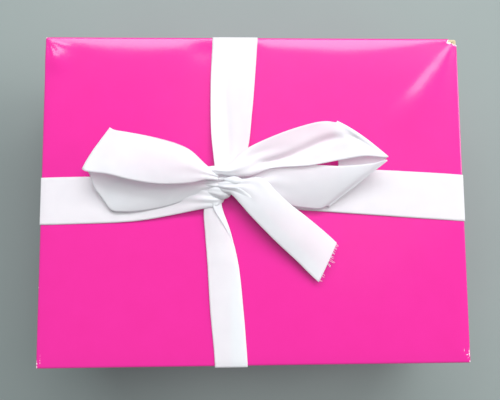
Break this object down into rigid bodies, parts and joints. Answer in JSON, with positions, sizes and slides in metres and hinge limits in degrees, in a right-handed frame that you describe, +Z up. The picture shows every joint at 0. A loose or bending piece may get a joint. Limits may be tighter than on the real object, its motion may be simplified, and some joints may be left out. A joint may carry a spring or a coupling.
{
  "type": "gift box",
  "caption": "Rectangular gift box covered in magenta paper, with a lift-off lid and a white satin ribbon crossed over it and tied in a one-tailed bow.",
  "frame": {"origin": "middle of the flat face that the box stands on", "axes": "+X along the box's length, +Y along its width towards the back, +Z up, the way the lid lifts"},
  "size_m": [0.2292, 0.1784, 0.091],
  "materials": {
    "magenta_wrap_paper": "glossy coated paper",
    "greyboard": "raw board",
    "gummed_paper_stay": "raw gummed paper",
    "white_lining_paper": "matt uncoated paper",
    "white_satin_ribbon": "woven satin",
    "clear_tape": "matt transparent tape"
  },
  "bodies": {
    "base": {"base_board": "greyboard", "base_stay_front_left": "gummed_paper_stay", "base_stay_front_right": "gummed_paper_stay", "base_stay_back_left": "gummed_paper_stay", "base_stay_back_right": "gummed_paper_stay", "base_wall_paper": "magenta_wrap_paper", "base_bottom_paper": "magenta_wrap_paper", "base_liner": "white_lining_paper"},
    "lid": {"lid_board": "greyboard", "lid_stay_front_left": "gummed_paper_stay", "lid_stay_front_right": "gummed_paper_stay", "lid_stay_back_left": "gummed_paper_stay", "lid_stay_back_right": "gummed_paper_stay", "lid_wrap": "magenta_wrap_paper", "lid_liner": "white_lining_paper", "ribbon_left": "white_satin_ribbon", "ribbon_right": "white_satin_ribbon", "ribbon_back": "white_satin_ribbon", "ribbon_front": "white_satin_ribbon", "bow_knot": "white_satin_ribbon", "bow_loop_left": "white_satin_ribbon", "bow_loop_right": "white_satin_ribbon", "bow_tail": "white_satin_ribbon", "ribbon_tape_left": "clear_tape", "ribbon_tape_right": "clear_tape", "ribbon_tape_back": "clear_tape", "ribbon_tape_front": "clear_tape"}
  },
  "joints": [
    {"name": "lid_lift", "type": "slide", "parent": "base", "child": "lid", "axis": [0, 0, 1], "range_m": [0, 0.1]}
  ]
}
